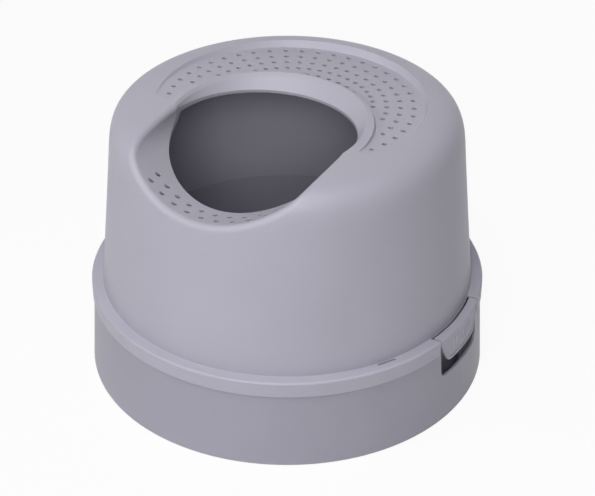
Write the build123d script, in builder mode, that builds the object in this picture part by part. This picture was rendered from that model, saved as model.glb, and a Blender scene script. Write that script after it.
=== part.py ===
from build123d import *
import os

# Round top-entry litter box: a double-walled tray, a tall hood that stands on the
# tray's rim, and a clip on each side that holds the two together.
# Millimetres, Z up from the floor, the entry faces -Y, the clips are at +X and -X.
# The hood's top, the flange's top and the foot of the hood's wall place the rest.

# Hood, outer form
HOOD_TOP_Z = 358.0
HOOD_TOP_R = 60.0
SHOULDER_DROP = 73.0
SHOULDER_EASE = 0.9
SHOULDER_LEAD = 6.45
WALL_FOOT_R = 235.3
WALL_LEAN = 15.15
WALL_T = 3.0

# Hood, flange over the tray's rim
FLANGE_TOP_Z = 120.0
FLANGE_WIDTH = 14.7
FLANGE_T = 3.0
FLANGE_ROUND = 2.5
LIP_TALL = 20.3
LIP_T = 3.0
LIP_CHAMFER = 0.8

# Hood, scoop that lowers the front for the cat: a trough with a rounded back end
SCOOP_FRONT_Y = -219.0
SCOOP_AXIS_RISE = 99.7
SCOOP_R = 150.0
SCOOP_FALL = 0.19
SCOOP_BACK_Y = 80.0
SCOOP_LENGTH = 350.0
SCOOP_END_Y = -83.0
SCOOP_HALF = 113.5
SCOOP_END_RUN = 95.0
SCOOP_DEPTH = 158.0
SCOOP_TALL = 190.0
SCOOP_SIDE_ROUND = 40.0
SCOOP_RIM_ROUND = 7.0

# Hood, entry opening and the band that slopes to it from the back
ENTRY_Y = -58.5
ENTRY_HALF_X = 114.0
ENTRY_HALF_Y = 109.5
ENTRY_DEPTH = 118.0
BAND_TOP_RISE = 3.0
BAND_TOP_Y = -45.0
BAND_TOP_R = 123.5
BAND_EASE_DROP = 3.5
BAND_EASE_Y = -48.5
BAND_EASE_R = 116.1
BAND_EDGE_DROP = 22.0
BAND_EDGE_Y = -66.7
BAND_EDGE_R = 108.6

# Hood, crescent recess and its holes
CRESCENT_SINK = 5.2
CRESCENT_FALL = 0.04
CRESCENT_DEPTH = 14.0
CRESCENT_INSET = 52.35
CRESCENT_IN_Y = -54.3
CRESCENT_IN_R = 130.3
CRESCENT_DRAFT = 30.0
RAMP_START_Y = -42.0
RAMP_LOW_Y = -56.0
RAMP_HIGH_Y = -62.0
RAMP_END_Y = -76.0
HOLE_CENTRE_Y = 9.8
HOLE_R = 3.1
HOLE_INSET = 17.5
HOLE_ROW_PITCH = 16.8
HOLE_SPANS_DEG = (224.0, 192.0, 160.0, 128.0, 73.5)
HOLE_PITCHES_DEG = (8.0, 8.0, 8.0, 8.0, 10.5)
BACK_DEG = 90.0

# Hood, holes in the tread
TREAD_HOLE_R = 3.2
TREAD_INSET = 11.35
TREAD_ROW_PITCH = 15.8
TREAD_SPANS_DEG = (43.6, 49.05)
TREAD_PITCH_DEG = 5.45
TREAD_DEPTH = 78.0
FRONT_DEG = 270.0

# Latch notch and hinge in the flange
NOTCH_HALF = 53.3
NOTCH_GAP = 0.7
WEB_T = 4.5
WEB_GAP = 3.2
WEB_INSET = 1.5
WEB_TALL = 10.5
HINGE_INSET = 9.8
HINGE_DROP = 3.5
TRUNNION_R = 1.8
TRUNNION_FIT = 0.05
TRUNNION_BITE = 3.5

# Locating tabs of the tray and their slots in the flange
TAB_INSET = 12.0
TAB_DEG = -30.5
TAB_LENGTH = 24.4
TAB_T = 2.4
TAB_FIT = 0.5
TAB_SINK = 1.6

# Tray
RIM_FIT = 0.5
RIM_T = 3.0
RIM_ROUND = 1.0
RIM_WIDTH = 14.0
PAN_DRAFT = 8.5
PAN_T = 2.5
PAN_FLOOR_Z = 6.5
PAN_FLOOR_T = 3.0
PAN_CORNER_R = 20.0
SKIRT_INSET = 1.9
SKIRT_GAP = 0.8
SKIRT_FLARE = 5.7
SKIRT_FOOT_Z = 1.0
SKIRT_T = 3.0

# Ribs between the tray's walls
RIB_COUNT = 12
RIB_START_DEG = 15.0
RIB_T = 2.2
RIB_LOW_GAP = 8.5
RIB_HIGH_GAP = 10.9
RIB_BITE = 0.6

# Handholds, latch pockets and keepers of the tray
HANDHOLD_INSET = 4.3
HANDHOLD_TALL = 57.0
HANDHOLD_CORNER_R = 10.0
POCKET_FIT = 1.2
POCKET_INSET = 14.4
POCKET_TALL = 19.8
KEEPER_INSET = 9.3
KEEPER_WIDTH = 8.7
KEEPER_DROP = 28.0
KEEPER_T = 3.0
KEEPER_HALF = 40.0

# Latch
LATCH_END_GAP = 2.4
LATCH_TOP_WIDTH = 11.4
LATCH_TOP_T = 3.0
LATCH_PANEL_T = 3.0
LATCH_TALL = 38.0
LATCH_TAPER = 16.3
LATCH_TAPER_DROP = 8.5
LATCH_CORNER_R = 7.0
CHEEK_T = 3.0
CHEEK_TALL = 7.8
CHEEK_WIDTH = 15.0
CHEEK_INSET = 2.0
NIB_FIT = 0.3
NIB_DROP = 1.0
NIB_TIP_T = 1.5
NIB_TALL = 6.5
NIB_END_GAP = 10.0
FIELD_DEPTH = 1.2
FIELD_BORDER = 2.6
GRIP_COUNT = 7
GRIP_PITCH = 8.0
GRIP_WIDTH = 2.4
GRIP_TALL = 16.0
GRIP_DROP = 19.0

# Feet
FOOT_R = 14.0
FOOT_ROUND = 1.0
FOOT_PLACE = 130.0
SOCKET_FIT = 0.3
SOCKET_T = 2.5
SOCKET_LOW_Z = 1.5

MARGIN = 5.0
TOUCH = 0.01

# Heights and radii that follow from the sizes above
shoulder_z = HOOD_TOP_Z - SHOULDER_DROP
shoulder_r = WALL_FOOT_R - WALL_LEAN
wall_slope = WALL_LEAN / (shoulder_z - FLANGE_TOP_Z)
crescent_out_r = shoulder_r - CRESCENT_INSET
flange_r = WALL_FOOT_R + FLANGE_WIDTH
flange_under_z = FLANGE_TOP_Z - FLANGE_T
lip_in_r = flange_r - LIP_T
lip_low_z = FLANGE_TOP_Z - LIP_TALL
web_low_z = FLANGE_TOP_Z - WEB_TALL
hinge_x = flange_r - HINGE_INSET
hinge_z = FLANGE_TOP_Z - HINGE_DROP
rim_top_z = flange_under_z
rim_out_r = lip_in_r - RIM_FIT
pan_top_r = rim_out_r - RIM_WIDTH
pan_floor_r = pan_top_r - PAN_DRAFT
pan_under_z = PAN_FLOOR_Z - PAN_FLOOR_T
skirt_top_z = lip_low_z - SKIRT_GAP
skirt_top_r = flange_r - SKIRT_INSET
skirt_foot_r = skirt_top_r + SKIRT_FLARE
rib_low_z = pan_under_z + RIB_LOW_GAP
rib_high_z = skirt_top_z - RIB_HIGH_GAP
handhold_half = NOTCH_HALF - HANDHOLD_INSET
pocket_half = NOTCH_HALF + WEB_T + POCKET_FIT
pocket_in_r = flange_r - POCKET_INSET
keeper_r = flange_r - KEEPER_INSET
keeper_low_z = FLANGE_TOP_Z - KEEPER_DROP
latch_half = NOTCH_HALF - LATCH_END_GAP
latch_low_z = FLANGE_TOP_Z - LATCH_TALL
latch_low_half = latch_half - LATCH_TAPER
latch_taper_z = FLANGE_TOP_Z - LATCH_TAPER_DROP
panel_in_r = flange_r - LATCH_PANEL_T
cheek_low_z = FLANGE_TOP_Z - CHEEK_TALL
nib_top_z = keeper_low_z - NIB_DROP
nib_root_z = nib_top_z - NIB_TALL
nib_half = KEEPER_HALF - NIB_END_GAP
grip_z = FLANGE_TOP_Z - GRIP_DROP

os.makedirs("parts", exist_ok=True)


def dome(inset, foot_z):
    """Solid within the hood's outer form, brought in by an inset."""
    foot_r = WALL_FOOT_R + wall_slope * (FLANGE_TOP_Z - foot_z) - inset
    turn_r = shoulder_r - inset
    top_z = HOOD_TOP_Z - inset
    rise = (turn_r - wall_slope * (SHOULDER_DROP - SHOULDER_EASE), top_z - SHOULDER_EASE)
    run = (turn_r + SHOULDER_LEAD, top_z)
    with BuildPart() as body:
        with BuildSketch(Plane.XZ):
            with BuildLine():
                wall = Line((foot_r, foot_z), (turn_r, shoulder_z))
                shoulder = Bezier(wall @ 1, rise, run, (HOOD_TOP_R, top_z))
                Polyline(shoulder @ 1, (0, top_z), (0, foot_z), wall @ 0)
            make_face()
        revolve(axis=Axis.Z)
    return body.part


def scoop(grow):
    """Trough that falls gently inward from the front to a rounded end, larger by a growth."""
    half = SCOOP_HALF + grow
    axis_z = HOOD_TOP_Z + SCOOP_AXIS_RISE - SCOOP_FALL * (SCOOP_BACK_Y - SCOOP_FRONT_Y)
    end = Plane(origin=(0, SCOOP_BACK_Y, axis_z), x_dir=(1, 0, 0), z_dir=(0, -1, SCOOP_FALL))
    with BuildPart() as cutter:
        with BuildSketch(end):
            Circle(SCOOP_R + grow)
        extrude(amount=SCOOP_LENGTH)
        with BuildSketch(Plane.XY.offset(HOOD_TOP_Z - SCOOP_DEPTH)):
            with Locations((0, SCOOP_END_Y)):
                Ellipse(half, SCOOP_END_RUN + grow)
                Rectangle(2 * half, SCOOP_LENGTH, align=(Align.CENTER, Align.MAX))
        extrude(amount=SCOOP_TALL, mode=Mode.INTERSECT)
        fillet(cutter.edges().filter_by(GeomType.BSPLINE), SCOOP_SIDE_ROUND + grow)
    return cutter.part


def seam(body, form, cutter):
    """Edges of a body that lie both on its form's skin and on the skin of what was cut from it."""
    edges = []
    for edge in body.edges():
        gaps = [min(face.distance_to(edge @ 0.5) for face in skin.faces()) for skin in (form, cutter)]
        if max(gaps) < TOUCH:
            edges.append(edge)
    return edges


def scooped_dome(inset, foot_z, rim_round):
    """Dome with the scoop cut into it and the scoop's rim rounded, brought in by an inset."""
    form = dome(inset, foot_z)
    cutter = scoop(inset)
    with BuildPart() as body:
        add(form)
        add(cutter, mode=Mode.SUBTRACT)
        fillet(seam(body, form, cutter), rim_round)
    return body.part


def band(grow):
    """Oblique cone from the band's eased crest to below the back edge of the entry."""
    sections = (
        (BAND_TOP_RISE, BAND_TOP_Y, BAND_TOP_R),
        (-BAND_EASE_DROP, BAND_EASE_Y, BAND_EASE_R),
        (-BAND_EDGE_DROP, BAND_EDGE_Y, BAND_EDGE_R),
    )
    with BuildPart() as cutter:
        for rise, middle_y, radius in sections:
            with BuildSketch(Plane.XY.offset(HOOD_TOP_Z + rise - grow)):
                with Locations((0, middle_y)):
                    Circle(radius + grow / 2)
        loft(ruled=True)
    return cutter.part


def crescent_floor(y, grow):
    """Height of the crescent's floor, which falls gently to the back."""
    return HOOD_TOP_Z - CRESCENT_SINK - CRESCENT_FALL * y - grow


def crescent(grow):
    """Recess between two circles, whose floor ramps up to the top at both ends."""
    top_z = HOOD_TOP_Z - grow
    high_z = top_z + MARGIN
    with BuildPart() as cutter:
        with BuildSketch(Plane.XY.offset(top_z)):
            with Locations((0, HOLE_CENTRE_Y)):
                Circle(crescent_out_r + grow)
            with Locations((0, CRESCENT_IN_Y)):
                Circle(CRESCENT_IN_R - grow, mode=Mode.SUBTRACT)
        extrude(amount=-CRESCENT_DEPTH, taper=CRESCENT_DRAFT)
        with BuildSketch(Plane.YZ):
            with BuildLine():
                ramp = Bezier(
                    (RAMP_START_Y, crescent_floor(RAMP_START_Y, grow)),
                    (RAMP_LOW_Y, crescent_floor(RAMP_LOW_Y, grow)),
                    (RAMP_HIGH_Y, top_z),
                    (RAMP_END_Y, top_z),
                )
                back = Polyline(
                    ramp @ 1,
                    (RAMP_END_Y, high_z),
                    (shoulder_r, high_z),
                    (shoulder_r, crescent_floor(shoulder_r, grow)),
                )
                Line(back @ 1, ramp @ 0)
            make_face()
        extrude(amount=shoulder_r, both=True, mode=Mode.INTERSECT)
    return cutter.part


def hole_arc(row_r, span_deg, pitch_deg, middle_deg):
    """Evenly spaced places on an arc, as many on one side of its middle as on the other."""
    count = round(span_deg / pitch_deg) + 1
    return PolarLocations(row_r, count, middle_deg - span_deg / 2, span_deg, endpoint=True)


def tab_bars(length, width, low_z, high_z):
    """Two straight bars across from each other near the hood's foot."""
    with BuildPart() as bars:
        with BuildSketch(Plane.XY.offset(low_z)):
            with PolarLocations(flange_r - TAB_INSET, 2, start_angle=TAB_DEG):
                SlotOverall(length, width, rotation=90)
        extrude(amount=high_z - low_z)
    return bars.part


def pan_r(z):
    """Inner radius of the litter well at a height."""
    return pan_floor_r + (pan_top_r - pan_floor_r) * (z - PAN_FLOOR_Z) / (rim_top_z - PAN_FLOOR_Z)


def skirt_r(z):
    """Outer radius of the tray's skirt at a height."""
    return skirt_foot_r + (skirt_top_r - skirt_foot_r) * (z - SKIRT_FOOT_Z) / (skirt_top_z - SKIRT_FOOT_Z)


def arc_block(in_r, out_r, half, low_z, high_z, centre_x=0.0):
    """Curved bar between two radii, at +X and -X or, off centre, at +X alone."""
    with BuildPart() as block:
        with BuildSketch(Plane.XY.offset(low_z)):
            Circle(out_r)
            Circle(in_r, mode=Mode.SUBTRACT)
            with Locations((centre_x, 0)):
                Rectangle(2 * out_r, 2 * half, mode=Mode.INTERSECT)
        extrude(amount=high_z - low_z)
    return block.part


def latch_face(inset):
    """Outline of the latch's panel seen from its side, brought in by an inset."""
    with BuildPart() as prism:
        with BuildSketch(Plane.YZ) as face:
            with BuildLine():
                Polyline(
                    (-latch_half, FLANGE_TOP_Z),
                    (-latch_half, latch_taper_z),
                    (-latch_low_half, latch_low_z),
                    (latch_low_half, latch_low_z),
                    (latch_half, latch_taper_z),
                    (latch_half, FLANGE_TOP_Z),
                    close=True,
                )
            make_face()
            fillet(face.vertices().group_by(Axis.Y)[0], LATCH_CORNER_R)
            if inset:
                offset(amount=-inset, mode=Mode.REPLACE)
        extrude(amount=flange_r + MARGIN)
    return prism.part


# Inside of the hood
with BuildPart() as hood_core:
    add(scooped_dome(WALL_T, flange_under_z - MARGIN, SCOOP_RIM_ROUND - WALL_T))
    add(crescent(WALL_T), mode=Mode.SUBTRACT)
    add(band(WALL_T), mode=Mode.SUBTRACT)

# Hood
with BuildPart() as hood:
    add(scooped_dome(0, flange_under_z, SCOOP_RIM_ROUND))
    add(band(0), mode=Mode.SUBTRACT)
    add(crescent(0), mode=Mode.SUBTRACT)
    with BuildSketch(Plane.XY.offset(HOOD_TOP_Z - ENTRY_DEPTH)):
        with Locations((0, ENTRY_Y)):
            Ellipse(ENTRY_HALF_X, ENTRY_HALF_Y)
    extrude(amount=HOOD_TOP_Z, mode=Mode.SUBTRACT)
    add(hood_core.part, mode=Mode.SUBTRACT)
    # flange and lip
    with BuildSketch(Plane.XZ) as flange_section:
        with BuildLine():
            mid_r = WALL_FOOT_R - WALL_T / 2
            under = Polyline((mid_r, FLANGE_TOP_Z), (mid_r, flange_under_z), (lip_in_r, flange_under_z))
            tip = Polyline(under @ 1, (lip_in_r, lip_low_z), (flange_r, lip_low_z))
            lip = Line(tip @ 1, (flange_r, FLANGE_TOP_Z))
            Line(lip @ 1, under @ 0)
        make_face()
        corners = flange_section.vertices().group_by(Axis.X)[-1].sort_by(Axis.Y)
        fillet(corners[-1], FLANGE_ROUND)
        corners = flange_section.vertices().group_by(Axis.X)[-1].sort_by(Axis.Y)
        chamfer(corners[0], LIP_CHAMFER)
    revolve(axis=Axis.Z)
    # notches that the latches sit in, and the webs that carry their hinges
    notch_low_z = lip_low_z - MARGIN
    notch_in_r = WALL_FOOT_R + NOTCH_GAP
    notch_high_z = FLANGE_TOP_Z + TOUCH
    add(arc_block(notch_in_r, flange_r + MARGIN, NOTCH_HALF, notch_low_z, notch_high_z), mode=Mode.SUBTRACT)
    with BuildSketch(Plane.XY.offset(web_low_z)):
        with GridLocations(0, 2 * NOTCH_HALF + WEB_T, 1, 2):
            Rectangle(2 * flange_r, WEB_T)
        Circle(flange_r - WEB_INSET, mode=Mode.INTERSECT)
        Circle(WALL_FOOT_R + WEB_GAP, mode=Mode.SUBTRACT)
    extrude(amount=flange_under_z + FLANGE_T / 2 - web_low_z)
    with BuildSketch(Plane.XZ):
        with Locations((hinge_x, hinge_z), (-hinge_x, hinge_z)):
            Circle(TRUNNION_R + TRUNNION_FIT)
    extrude(amount=NOTCH_HALF + WEB_T, both=True, mode=Mode.SUBTRACT)
    # slots for the tray's tabs
    slot_grow = 2 * TAB_FIT
    add(tab_bars(TAB_LENGTH + slot_grow, TAB_T + slot_grow, notch_low_z, notch_high_z), mode=Mode.SUBTRACT)
    # holes in the crescent
    with BuildSketch(Plane.XY.offset(HOOD_TOP_Z - CRESCENT_DEPTH - WALL_T - MARGIN)):
        with Locations((0, HOLE_CENTRE_Y)):
            row_r = crescent_out_r - HOLE_INSET
            for span_deg, pitch_deg in zip(HOLE_SPANS_DEG, HOLE_PITCHES_DEG):
                with hole_arc(row_r, span_deg, pitch_deg, BACK_DEG):
                    Circle(HOLE_R)
                row_r -= HOLE_ROW_PITCH
    extrude(amount=WALL_T + CRESCENT_DEPTH + 2 * MARGIN, mode=Mode.SUBTRACT)
    # holes in the tread
    with BuildSketch(Plane.XY.offset(HOOD_TOP_Z - TREAD_DEPTH)):
        with Locations((0, HOLE_CENTRE_Y)):
            row_r = shoulder_r - TREAD_INSET
            for span_deg in TREAD_SPANS_DEG:
                with hole_arc(row_r, span_deg, TREAD_PITCH_DEG, FRONT_DEG):
                    Circle(TREAD_HOLE_R)
                row_r -= TREAD_ROW_PITCH
    extrude(amount=TREAD_DEPTH, mode=Mode.SUBTRACT)
hood.part.label = "hood"
export_step(hood.part, "parts/hood.step")

# Tray
with BuildPart() as rib:
    with BuildSketch(Plane.XZ):
        with BuildLine():
            Polyline(
                (pan_r(rib_low_z) + PAN_T - RIB_BITE, rib_low_z),
                (skirt_r(rib_low_z) - SKIRT_T + RIB_BITE, rib_low_z),
                (skirt_r(rib_high_z) - SKIRT_T + RIB_BITE, rib_high_z),
                (pan_r(rib_high_z) + PAN_T - RIB_BITE, rib_high_z),
                close=True,
            )
        make_face()
    extrude(amount=RIB_T / 2, both=True)

with BuildPart() as handhold_cut:
    with BuildSketch(Plane.YZ) as handhold:
        with Locations((0, FLANGE_TOP_Z)):
            Rectangle(2 * handhold_half, HANDHOLD_TALL, align=(Align.CENTER, Align.MAX))
        fillet(handhold.vertices().group_by(Axis.Y)[0], HANDHOLD_CORNER_R)
    extrude(amount=skirt_foot_r, both=True)
    with BuildSketch():
        Circle(pocket_in_r)
    extrude(amount=FLANGE_TOP_Z, mode=Mode.SUBTRACT)

with BuildPart() as litter_tray:
    with BuildSketch(Plane.XZ) as tray_section:
        with BuildLine():
            well = Polyline((0, PAN_FLOOR_Z), (pan_floor_r, PAN_FLOOR_Z), (pan_top_r, rim_top_z))
            step = Polyline(
                well @ 1,
                (rim_out_r, rim_top_z),
                (rim_out_r, skirt_top_z),
                (skirt_top_r, skirt_top_z),
            )
            foot = Polyline(
                step @ 1,
                (skirt_foot_r, SKIRT_FOOT_Z),
                (skirt_foot_r - SKIRT_T, SKIRT_FOOT_Z),
                (skirt_top_r - SKIRT_T, skirt_top_z - RIM_T),
            )
            channel = Polyline(
                foot @ 1,
                (rim_out_r - RIM_T, skirt_top_z - RIM_T),
                (rim_out_r - RIM_T, rim_top_z - RIM_T),
                (pan_r(rim_top_z - RIM_T) + PAN_T, rim_top_z - RIM_T),
            )
            Polyline(channel @ 1, (pan_r(pan_under_z) + PAN_T, pan_under_z), (0, pan_under_z), well @ 0)
        make_face()
        floor_corner = tray_section.vertices().sort_by_distance((pan_floor_r, 0, PAN_FLOOR_Z))[0]
        fillet(floor_corner, PAN_CORNER_R)
        rim_corner = tray_section.vertices().sort_by_distance((rim_out_r, 0, rim_top_z))[0]
        fillet(rim_corner, RIM_ROUND)
    revolve(axis=Axis.Z)
    with PolarLocations(0, RIB_COUNT, start_angle=RIB_START_DEG):
        add(rib.part)
    # handholds, with the pockets above them that take the latches
    add(handhold_cut.part, mode=Mode.SUBTRACT)
    pocket_low_z = FLANGE_TOP_Z - POCKET_TALL
    add(arc_block(pocket_in_r, skirt_foot_r, pocket_half, pocket_low_z, FLANGE_TOP_Z), mode=Mode.SUBTRACT)
    add(arc_block(keeper_r - KEEPER_WIDTH, keeper_r, KEEPER_HALF, keeper_low_z, keeper_low_z + KEEPER_T))
    # tabs that stand in the flange's slots
    add(tab_bars(TAB_LENGTH, TAB_T, rim_top_z - RIM_T / 2, FLANGE_TOP_Z - TAB_SINK))
    # sockets for the feet
    with BuildSketch(Plane.XY.offset(SOCKET_LOW_Z)):
        with GridLocations(2 * FOOT_PLACE, 2 * FOOT_PLACE, 2, 2):
            Circle(FOOT_R + SOCKET_FIT + SOCKET_T)
            Circle(FOOT_R + SOCKET_FIT, mode=Mode.SUBTRACT)
    extrude(amount=pan_under_z + PAN_FLOOR_T / 2 - SOCKET_LOW_Z)
litter_tray.part.label = "litter_tray"
export_step(litter_tray.part, "parts/litter_tray.step")

# Latches
with BuildPart() as latch_panel:
    add(arc_block(panel_in_r, flange_r, latch_half, latch_low_z, FLANGE_TOP_Z, flange_r))
    add(latch_face(0), mode=Mode.INTERSECT)

with BuildPart() as latch_field:
    field_top_z = FLANGE_TOP_Z - FLANGE_ROUND
    field_in_r = flange_r - FIELD_DEPTH
    add(arc_block(field_in_r, flange_r + MARGIN, latch_half, latch_low_z, field_top_z, flange_r))
    add(latch_face(FIELD_BORDER), mode=Mode.INTERSECT)

with BuildPart() as latch_grips:
    grip_in_r = flange_r - LATCH_PANEL_T / 2
    grip_low_z = grip_z - GRIP_TALL / 2
    add(arc_block(grip_in_r, flange_r, latch_half, grip_low_z, grip_low_z + GRIP_TALL, flange_r))
    with BuildSketch(Plane.YZ):
        with Locations((0, grip_z)):
            with GridLocations(GRIP_PITCH, 0, GRIP_COUNT, 1):
                SlotOverall(GRIP_TALL, GRIP_WIDTH, rotation=90)
    extrude(amount=flange_r + MARGIN, mode=Mode.INTERSECT)

with BuildPart() as latch_nib:
    with BuildSketch(Plane.XZ):
        with BuildLine():
            tip_r = keeper_r + NIB_FIT
            root_r = panel_in_r + LATCH_PANEL_T / 2
            Polyline(
                (root_r, nib_top_z),
                (tip_r, nib_top_z),
                (tip_r, nib_top_z - NIB_TIP_T),
                (root_r, nib_root_z),
                close=True,
            )
        make_face()
    revolve(axis=Axis.Z)
    with BuildSketch(Plane.XY.offset(nib_root_z)):
        with Locations((flange_r, 0)):
            Rectangle(2 * flange_r, 2 * nib_half)
    extrude(amount=nib_top_z - nib_root_z, mode=Mode.INTERSECT)

with BuildPart() as right_latch:
    top_in_r = flange_r - LATCH_TOP_WIDTH
    top_low_z = FLANGE_TOP_Z - LATCH_TOP_T
    add(arc_block(top_in_r, flange_r, latch_half, top_low_z, FLANGE_TOP_Z, flange_r))
    add(latch_panel.part)
    # cheeks and the hinge bar between them
    with BuildSketch(Plane.XY.offset(cheek_low_z)):
        with GridLocations(0, 2 * latch_half - CHEEK_T, 1, 2):
            Rectangle(2 * flange_r, CHEEK_T)
        Circle(flange_r - CHEEK_INSET, mode=Mode.INTERSECT)
        with Locations((flange_r - CHEEK_WIDTH, 0)):
            Rectangle(flange_r, flange_r, align=(Align.MIN, Align.CENTER), mode=Mode.INTERSECT)
    extrude(amount=CHEEK_TALL - LATCH_TOP_T / 2)
    top_edges = right_latch.edges().filter_by(GeomType.CIRCLE).group_by(Axis.Z)[-1]
    fillet(top_edges.sort_by(SortBy.RADIUS)[-1], FLANGE_ROUND)
    add(latch_field.part, mode=Mode.SUBTRACT)
    add(latch_grips.part)
    add(latch_nib.part)
    with BuildSketch(Plane.XZ):
        with Locations((hinge_x, hinge_z)):
            Circle(TRUNNION_R)
    extrude(amount=NOTCH_HALF + TRUNNION_BITE, both=True)
right_latch.part.label = "right_latch"
export_step(right_latch.part, "parts/right_latch.step")

with BuildPart() as left_latch:
    mirror(right_latch.part, about=Plane.YZ)
left_latch.part.label = "left_latch"
export_step(left_latch.part, "parts/left_latch.step")

# Feet
feet = {
    "front_left_foot": (-FOOT_PLACE, -FOOT_PLACE),
    "front_right_foot": (FOOT_PLACE, -FOOT_PLACE),
    "rear_left_foot": (-FOOT_PLACE, FOOT_PLACE),
    "rear_right_foot": (FOOT_PLACE, FOOT_PLACE),
}
for foot_name, foot_place in feet.items():
    with BuildPart() as foot_pad:
        with BuildSketch():
            with Locations(foot_place):
                Circle(FOOT_R)
        extrude(amount=pan_under_z)
        fillet(foot_pad.edges().group_by(Axis.Z)[0], FOOT_ROUND)
    foot_pad.part.label = foot_name
    export_step(foot_pad.part, f"parts/{foot_name}.step")
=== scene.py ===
"""Round litter box with a hood: moulded plastic finishes, a pale studio and the camera."""

import logging
import math
from dataclasses import dataclass
from enum import Enum
from typing import Any

import bmesh
import bpy
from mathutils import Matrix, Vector

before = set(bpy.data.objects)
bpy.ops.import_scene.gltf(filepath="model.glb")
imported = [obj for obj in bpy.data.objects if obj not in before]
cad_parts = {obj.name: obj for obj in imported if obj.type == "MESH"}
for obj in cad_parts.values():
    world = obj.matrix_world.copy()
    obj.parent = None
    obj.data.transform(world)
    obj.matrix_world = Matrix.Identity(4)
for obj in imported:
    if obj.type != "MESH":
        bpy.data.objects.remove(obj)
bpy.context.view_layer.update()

LOG = logging.getLogger("litter_box")
MM = 0.001
PHOTO_WIDTH = 595

# Sockets of a Mix node that is set to colour, where several share a name.
MIX_SHARE, MIX_A, MIX_B, MIX_COLOUR = 0, 6, 7, 2


def linear(hex_colour: str) -> tuple[float, float, float, float]:
    """Turns an sRGB hex colour into linear RGBA.

    Args:
        hex_colour: Six hex digits with a leading hash.

    Returns:
        Linear red, green, blue and an alpha of one.
    """
    channels = [int(hex_colour[i : i + 2], 16) / 255 for i in (1, 3, 5)]
    red, green, blue = (c / 12.92 if c <= 0.04045 else ((c + 0.055) / 1.055) ** 2.4 for c in channels)
    return red, green, blue, 1.0


def add_node(
    tree: bpy.types.NodeTree,
    kind: str,
    settings: dict[str, Any] | None = None,
    inputs: dict[str | int, Any] | None = None,
) -> bpy.types.Node:
    """Adds a node, sets it up and links what feeds it.

    Args:
        tree: The node tree that takes the node.
        kind: The node's type name.
        settings: Attributes of the node.
        inputs: Values, or sockets of other nodes, for its inputs.

    Returns:
        The new node.
    """
    node = tree.nodes.new(kind)
    for name, value in (settings or {}).items():
        setattr(node, name, value)
    for key, value in (inputs or {}).items():
        if isinstance(value, bpy.types.NodeSocket):
            tree.links.new(value, node.inputs[key])
        else:
            node.inputs[key].default_value = value
    return node


def backdrop_rays(tree: bpy.types.NodeTree) -> bpy.types.NodeSocket:
    """Tells the rays that should see a white backdrop from those that carry light.

    Args:
        tree: The node tree of a floor or a sky.

    Returns:
        One for camera, glossy and transmission rays, and zero for the rest.
    """
    rays = add_node(tree, "ShaderNodeLightPath").outputs
    mirrored = add_node(
        tree,
        "ShaderNodeMath",
        {"operation": "ADD"},
        {0: rays["Is Glossy Ray"], 1: rays["Is Transmission Ray"]},
    )
    seen = add_node(
        tree,
        "ShaderNodeMath",
        {"operation": "ADD", "use_clamp": True},
        {0: rays["Is Camera Ray"], 1: mirrored.outputs[0]},
    )
    return seen.outputs[0]


def new_material(name: str) -> tuple[bpy.types.Material, bpy.types.NodeTree]:
    """Makes an empty node material.

    Args:
        name: The material's name.

    Returns:
        The material and its node tree.
    """
    material = bpy.data.materials.new(name)
    material.use_nodes = True
    material.node_tree.nodes.clear()
    return material, material.node_tree


class Tone(Enum):
    """Shades of the same lavender-grey plastic, one for each moulding; the tray's and the latch's darker
    tones are painted shade.
    """

    HOOD = "#b4b2bf"
    # Darker than the hood: painted shade for the lower part, which gets less light.
    TRAY = "#a3a1ae"
    # A little darker than the hood: painted shade on the clips.
    LATCH = "#b1afbc"
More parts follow.
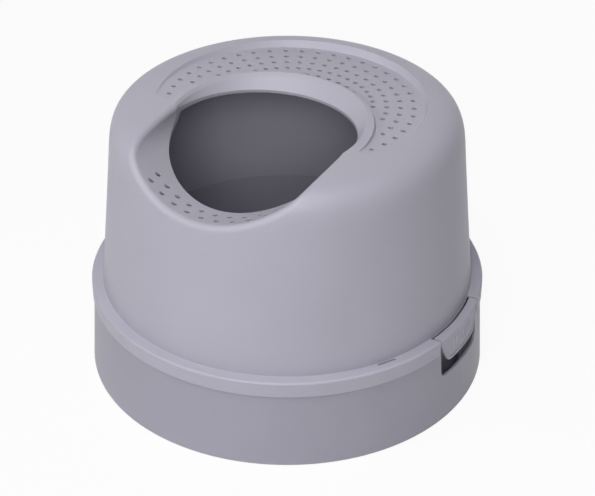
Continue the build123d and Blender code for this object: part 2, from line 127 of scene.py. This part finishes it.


# Polypropylene, injection moulded in a spark-eroded tool. The eye gets a silky sheen with no sharp
# reflections, a fine even grain, faint sink and flow marks in the wide walls, and edges painted a little
# paler as a painted highlight.
@dataclass(frozen=True)
class MouldedPolypropylene:
    """Moulded polypropylene in one of the box's tones."""

    name: str
    tone: Tone
    roughness: float = 0.46
    roughness_spread: float = 0.06
    ior: float = 1.49
    # The real grain is about 0.4 mm, too fine to show in the render, and is drawn at four times that.
    grain_mm: float = 1.6
    grain_height_mm: float = 0.05
    grain_detail: float = 2.0
    sink_mm: float = 85.0
    sink_height_mm: float = 0.35
    sink_detail: float = 1.0
    flow_mm: float = 120.0
    flow_shift: float = 0.05
    flow_detail: float = 3.0
    edge_radius_mm: float = 0.9
    edge_samples: int = 6
    # How far the rounded normal turns, and how much paler the edge is painted: a painted highlight.
    highlight_turn: float = 0.33
    highlight_shift: float = 0.12

    def build(self) -> bpy.types.Material:
        """Makes the material.

        Returns:
            A node material that reads Object coordinates.
        """
        material, tree = new_material(self.name)
        place = add_node(tree, "ShaderNodeTexCoord").outputs["Object"]
        edge = add_node(
            tree, "ShaderNodeBevel", {"samples": self.edge_samples}, {"Radius": self.edge_radius_mm * MM}
        ).outputs[0]
        grain = add_node(
            tree,
            "ShaderNodeTexNoise",
            {},
            {"Vector": place, "Scale": 1 / (self.grain_mm * MM), "Detail": self.grain_detail},
        ).outputs[0]
        gloss = add_node(
            tree,
            "ShaderNodeMapRange",
            {},
            {
                "Value": grain,
                "To Min": self.roughness - self.roughness_spread,
                "To Max": self.roughness + self.roughness_spread,
            },
        )
        shader = add_node(
            tree,
            "ShaderNodeBsdfPrincipled",
            {},
            {
                "Base Color": self.paint(tree, place, edge),
                "Roughness": gloss.outputs[0],
                "IOR": self.ior,
                "Normal": self.relief(tree, place, grain, edge),
            },
        )
        add_node(tree, "ShaderNodeOutputMaterial", {}, {"Surface": shader.outputs[0]})
        return material

    def shade(self, shift: float) -> tuple[float, ...]:
        """Returns the tone in linear colour, lighter or darker by a share."""
        return tuple(channel * (1 + shift) for channel in linear(self.tone.value)[:3]) + (1.0,)

    def paint(
        self, tree: bpy.types.NodeTree, place: bpy.types.NodeSocket, edge: bpy.types.NodeSocket
    ) -> bpy.types.NodeSocket:
        """Clouds the tone with flow marks and pales it along the edges as a painted highlight.

        Args:
            tree: The material's node tree.
            place: Object coordinates.
            edge: Normals rounded over the edges.

        Returns:
            The colour.
        """
        flow = add_node(
            tree,
            "ShaderNodeTexNoise",
            {},
            {"Vector": place, "Scale": 1 / (self.flow_mm * MM), "Detail": self.flow_detail},
        )
        plain = add_node(
            tree,
            "ShaderNodeMix",
            {"data_type": "RGBA"},
            {
                MIX_SHARE: flow.outputs[0],
                MIX_A: self.shade(-self.flow_shift),
                MIX_B: self.shade(self.flow_shift),
            },
        )
        # Pales the tone where the rounded normals turn away from the face's own: a painted highlight along
        # the edges.
        face = add_node(tree, "ShaderNodeNewGeometry").outputs["Normal"]
        agree = add_node(tree, "ShaderNodeVectorMath", {"operation": "DOT_PRODUCT"}, {0: edge, 1: face})
        painted_highlight = add_node(
            tree,
            "ShaderNodeMapRange",
            {},
            {"Value": agree.outputs["Value"], "From Min": 1.0, "From Max": 1.0 - self.highlight_turn},
        )
        colour = add_node(
            tree,
            "ShaderNodeMix",
            {"data_type": "RGBA"},
            {
                MIX_SHARE: painted_highlight.outputs[0],
                MIX_A: plain.outputs[MIX_COLOUR],
                MIX_B: self.shade(self.highlight_shift),
            },
        )
        return colour.outputs[MIX_COLOUR]

    def relief(
        self,
        tree: bpy.types.NodeTree,
        place: bpy.types.NodeSocket,
        grain: bpy.types.NodeSocket,
        edge: bpy.types.NodeSocket,
    ) -> bpy.types.NodeSocket:
        """Lays sink marks and grain over the rounded edges.

        Args:
            tree: The material's node tree.
            place: Object coordinates.
            grain: Height of the grain.
            edge: Normals rounded over the edges.

        Returns:
            The normal.
        """
        sink = add_node(
            tree,
            "ShaderNodeTexNoise",
            {},
            {"Vector": place, "Scale": 1 / (self.sink_mm * MM), "Detail": self.sink_detail},
        )
        slow = add_node(
            tree,
            "ShaderNodeBump",
            {},
            {"Height": sink.outputs[0], "Distance": self.sink_height_mm * MM, "Normal": edge},
        )
        fine = add_node(
            tree,
            "ShaderNodeBump",
            {},
            {"Height": grain, "Distance": self.grain_height_mm * MM, "Normal": slow.outputs[0]},
        )
        return fine.outputs[0]


# Thermoplastic rubber, moulded in a sand-blasted tool. The eye gets a dull near-black with a faint
# dusty mottle and no clear highlight.
@dataclass(frozen=True)
class SoftRubber:
    """Rubber of the anti-slip pads."""

    name: str = "thermoplastic_rubber"
    colour: str = "#3a393d"
    dust: str = "#55545a"
    roughness: float = 0.82
    ior: float = 1.52
    mottle_mm: float = 4.0
    mottle_detail: float = 4.0
    grain_height_mm: float = 0.06

    def build(self) -> bpy.types.Material:
        """Makes the material.

        Returns:
            A node material that reads Object coordinates.
        """
        material, tree = new_material(self.name)
        place = add_node(tree, "ShaderNodeTexCoord").outputs["Object"]
        mottle = add_node(
            tree,
            "ShaderNodeTexNoise",
            {},
            {"Vector": place, "Scale": 1 / (self.mottle_mm * MM), "Detail": self.mottle_detail},
        )
        colour = add_node(
            tree,
            "ShaderNodeMix",
            {"data_type": "RGBA"},
            {MIX_SHARE: mottle.outputs[0], MIX_A: linear(self.colour), MIX_B: linear(self.dust)},
        )
        bump = add_node(
            tree, "ShaderNodeBump", {}, {"Height": mottle.outputs[0], "Distance": self.grain_height_mm * MM}
        )
        shader = add_node(
            tree,
            "ShaderNodeBsdfPrincipled",
            {},
            {
                "Base Color": colour.outputs[MIX_COLOUR],
                "Roughness": self.roughness,
                "IOR": self.ior,
                "Normal": bump.outputs[0],
            },
        )
        add_node(tree, "ShaderNodeOutputMaterial", {}, {"Surface": shader.outputs[0]})
        return material


# Matt coated paper, unrolled on the floor. The eye gets plain white that keeps a soft part of the
# object's shadow. Under the object it doesn't glow, so that nothing shines out of the handholds.
@dataclass(frozen=True)
class StudioPaper:
    """White paper of the studio's floor."""

    name: str = "studio_paper"
    colour: str = "#f4f4f6"
    glow: float = 1.0
    glow_share: float = 0.92
    dark_r_mm: float = 250.0

    def build(self) -> bpy.types.Material:
        """Makes the material.

        Returns:
            A node material whose glow only the camera, gloss and glass see.
        """
        material, tree = new_material(self.name)
        place = add_node(tree, "ShaderNodeTexCoord").outputs["Object"]
        away = add_node(tree, "ShaderNodeVectorMath", {"operation": "LENGTH"}, {0: place})
        clear = add_node(
            tree,
            "ShaderNodeMath",
            {"operation": "GREATER_THAN"},
            {0: away.outputs["Value"], 1: self.dark_r_mm * MM},
        )
        open_floor = add_node(
            tree, "ShaderNodeMath", {"operation": "MULTIPLY"}, {0: backdrop_rays(tree), 1: clear.outputs[0]}
        )
        share = add_node(
            tree, "ShaderNodeMath", {"operation": "MULTIPLY"}, {0: open_floor.outputs[0], 1: self.glow_share}
        )
        paper = add_node(tree, "ShaderNodeBsdfDiffuse", {}, {"Color": linear(self.colour)})
        light = add_node(tree, "ShaderNodeEmission", {}, {"Strength": self.glow})
        mix = add_node(
            tree, "ShaderNodeMixShader", {}, {0: share.outputs[0], 1: paper.outputs[0], 2: light.outputs[0]}
        )
        add_node(tree, "ShaderNodeOutputMaterial", {}, {"Surface": mix.outputs[0]})
        return material


def dress(node: str, material: bpy.types.Material) -> None:
    """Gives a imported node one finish.

    Args:
        node: The node's name.
        material: The finish.
    """
    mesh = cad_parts[node].data
    mesh.materials.clear()
    mesh.materials.append(material)
    LOG.info("dressed %s in %s", node, material.name)


@dataclass
class Hood:
    """Tall hood with the scooped entry and the perforated crescent."""

    node: str = "hood"
    finish: MouldedPolypropylene = MouldedPolypropylene("hood_polypropylene", Tone.HOOD)

    def build(self) -> None:
        """Dresses the hood."""
        dress(self.node, self.finish.build())


@dataclass
class Tray:
    """Double-walled tray with its rubber feet."""

    node: str = "litter_tray"
    feet: tuple[str, ...] = ("front_left_foot", "front_right_foot", "rear_left_foot", "rear_right_foot")
    # The tray's darker tone is painted shade.
    finish: MouldedPolypropylene = MouldedPolypropylene("tray_polypropylene", Tone.TRAY, sink_height_mm=0.5)
    pads: SoftRubber = SoftRubber()

    def build(self) -> None:
        """Dresses the tray and its feet."""
        dress(self.node, self.finish.build())
        rubber = self.pads.build()
        for foot in self.feet:
            dress(foot, rubber)


@dataclass
class Latches:
    """The pair of clips that hold the hood on the tray."""

    nodes: tuple[str, ...] = ("right_latch", "left_latch")
    finish: MouldedPolypropylene = MouldedPolypropylene(
        "latch_polypropylene", Tone.LATCH, roughness=0.42, edge_radius_mm=0.6
    )

    def build(self) -> None:
        """Dresses both clips."""
        plastic = self.finish.build()
        for node in self.nodes:
            dress(node, plastic)


@dataclass(frozen=True)
class Softbox:
    """Square lamp that points at the object, with or without a highlight of its own."""

    name: str
    place: tuple[float, float, float]
    side: float
    power: float
    aim: tuple[float, float, float] = (0.0, 0.0, 0.2)
    glossy: bool = True

    def build(self) -> None:
        """Adds the lamp to the scene."""
        lamp = bpy.data.lights.new(self.name, "AREA")
        lamp.shape = "SQUARE"
        lamp.size = self.side
        lamp.energy = self.power
        holder = bpy.data.objects.new(self.name, lamp)
        holder.location = self.place
        holder.visible_glossy = self.glossy
        towards = Vector(self.aim) - Vector(self.place)
        holder.rotation_euler = towards.to_track_quat("-Z", "Y").to_euler()
        bpy.context.scene.collection.objects.link(holder)
        LOG.info("lit %s", self.name)


@dataclass
class Studio:
    """Pale floor, soft lamps and a faint even sky."""

    floor_half: float = 6.0
    paper: StudioPaper = StudioPaper()
    sky: str = "#f2f3f6"
    sky_light: float = 0.02
    sky_white: float = 1.0
    lamps: tuple[Softbox, ...] = (
        Softbox("front_softbox", (1.1, -2.3, 1.75), 1.0, 30.0),
        Softbox("left_softbox", (-1.8, -1.9, 1.75), 1.3, 20.5),
        Softbox("top_softbox", (0.1, -0.8, 2.4), 1.2, 26.0),
        # Lights the back of the object, and leaves no glare on its top.
        Softbox("back_softbox", (-0.2, 2.4, 0.6), 1.0, 18.0, glossy=False),
    )

    def build(self) -> None:
        """Builds the floor, the lamps and the sky."""
        self.build_floor()
        for lamp in self.lamps:
            lamp.build()
        self.build_sky()

    def build_floor(self) -> None:
        """Lays the paper under the object."""
        shape = bmesh.new()
        bmesh.ops.create_grid(shape, x_segments=1, y_segments=1, size=self.floor_half)
        mesh = bpy.data.meshes.new("studio_floor")
        shape.to_mesh(mesh)
        shape.free()
        mesh.materials.append(self.paper.build())
        floor = bpy.data.objects.new("studio_floor", mesh)
        bpy.context.scene.collection.objects.link(floor)
        LOG.info("laid studio_floor")

    def build_sky(self) -> None:
        """Sets a faint even sky that shows white."""
        world = bpy.data.worlds.new("studio_sky")
        world.use_nodes = True
        tree = world.node_tree
        tree.nodes.clear()
        faint = add_node(
            tree, "ShaderNodeBackground", {}, {"Color": linear(self.sky), "Strength": self.sky_light}
        )
        white = add_node(tree, "ShaderNodeBackground", {}, {"Strength": self.sky_white})
        sky = add_node(
            tree,
            "ShaderNodeMixShader",
            {},
            {0: backdrop_rays(tree), 1: faint.outputs[0], 2: white.outputs[0]},
        )
        add_node(tree, "ShaderNodeOutputWorld", {}, {"Surface": sky.outputs[0]})
        bpy.context.scene.world = world


@dataclass
class PhotoCamera:
    """Camera at the photograph's place."""

    azimuth_deg: float = 29.65
    elevation_deg: float = 33.09
    distance: float = 2.25
    aim: tuple[float, float, float] = (0.0, 0.0, 0.1469)
    focal_px: float = 1761.46
    shift_px: float = 10.3
    sensor_mm: float = 36.0

    def build(self) -> None:
        """Adds the camera and makes it the scene's own."""
        camera = bpy.data.cameras.new("photo_camera")
        camera.sensor_fit = "HORIZONTAL"
        camera.sensor_width = self.sensor_mm
        camera.lens = self.focal_px / PHOTO_WIDTH * self.sensor_mm
        camera.shift_x = self.shift_px / PHOTO_WIDTH
        azimuth, elevation = math.radians(self.azimuth_deg), math.radians(self.elevation_deg)
        back = Vector(
            (
                math.sin(azimuth) * math.cos(elevation),
                -math.cos(azimuth) * math.cos(elevation),
                math.sin(elevation),
            )
        )
        holder = bpy.data.objects.new("photo_camera", camera)
        holder.location = Vector(self.aim) + back * self.distance
        holder.rotation_euler = (-back).to_track_quat("-Z", "Y").to_euler()
        bpy.context.scene.collection.objects.link(holder)
        bpy.context.scene.camera = holder
        LOG.info("placed photo_camera")


def main() -> None:
    """Dresses the object and sets up the studio."""
    logging.basicConfig(level=logging.INFO, format="%(message)s")
    Hood().build()
    Tray().build()
    Latches().build()
    Studio().build()
    PhotoCamera().build()
    bpy.context.scene.view_settings.view_transform = "Standard"


if __name__ == "__main__":
    main()
